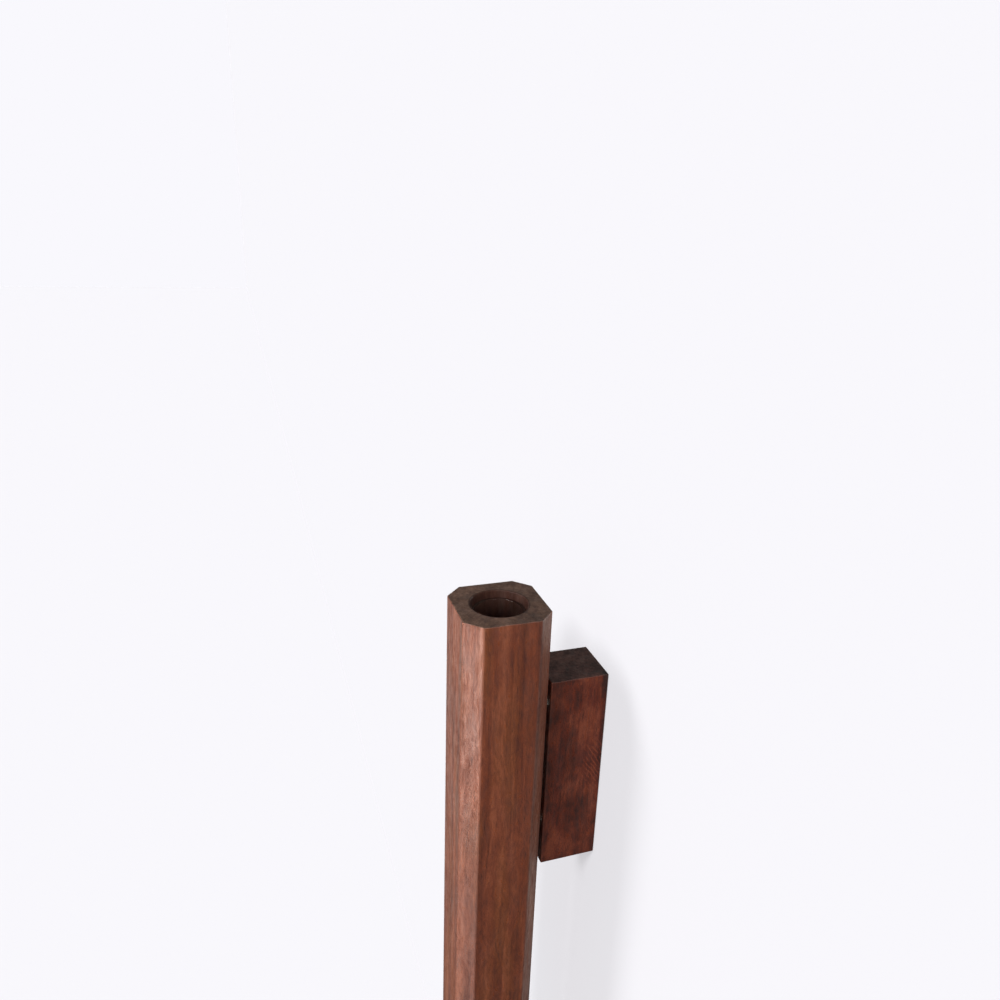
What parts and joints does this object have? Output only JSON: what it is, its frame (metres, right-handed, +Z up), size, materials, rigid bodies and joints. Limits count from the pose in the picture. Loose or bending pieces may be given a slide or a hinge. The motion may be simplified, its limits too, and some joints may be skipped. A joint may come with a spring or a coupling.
{
  "type": "wall vase",
  "caption": "Octagonal walnut wall vase with a glass tube in its bore, held by magnets to a rectangular walnut wall block that hangs on keyhole plates.",
  "frame": {"origin": "the middle of the block's wall face, which is the mount wall_face", "axes": "+Y points into the wall, -Y into the room towards the vase, +Z up, and X runs across the block"},
  "size_m": [0.05, 0.087, 0.36],
  "materials": {
    "vase_walnut": "oiled walnut, fine upright grain, satin",
    "block_walnut": "oiled walnut, darker than the vase, with ripple figure",
    "tube_glass": "clear laboratory glass",
    "felt": "dark pressed felt",
    "nickel_plate": "bright nickel plate on steel",
    "ring_magnet": "nickel plate on a sintered magnet",
    "plated_steel": "zinc plate on pressed steel",
    "screw_steel": "zinc plate"
  },
  "bodies": {
    "wall_part": {"wall_block": "block_walnut", "upper_keyhole_plate": "plated_steel", "upper_plate_upper_screw": "screw_steel", "upper_plate_lower_screw": "screw_steel", "lower_keyhole_plate": "plated_steel", "lower_plate_upper_screw": "screw_steel", "lower_plate_lower_screw": "screw_steel", "upper_magnet_cup": "nickel_plate", "upper_magnet_ring": "ring_magnet", "upper_magnet_screw": "screw_steel", "lower_magnet_cup": "nickel_plate", "lower_magnet_ring": "ring_magnet", "lower_magnet_screw": "screw_steel"},
    "vase": {"vase_body": "vase_walnut", "upper_strike_disc": "nickel_plate", "upper_strike_screw": "screw_steel", "lower_strike_disc": "nickel_plate", "lower_strike_screw": "screw_steel", "tube_cushion": "felt"},
    "tube": {"glass_tube": "tube_glass"}
  },
  "joints": [
    {"name": "vase_pull", "type": "slide", "parent": "wall_part", "child": "vase", "axis": [0, -1, 0], "range_m": [0, 0.06]},
    {"name": "tube_lift", "type": "slide", "parent": "vase", "child": "tube", "axis": [0, 0, 1], "range_m": [0, 0.21]}
  ]
}
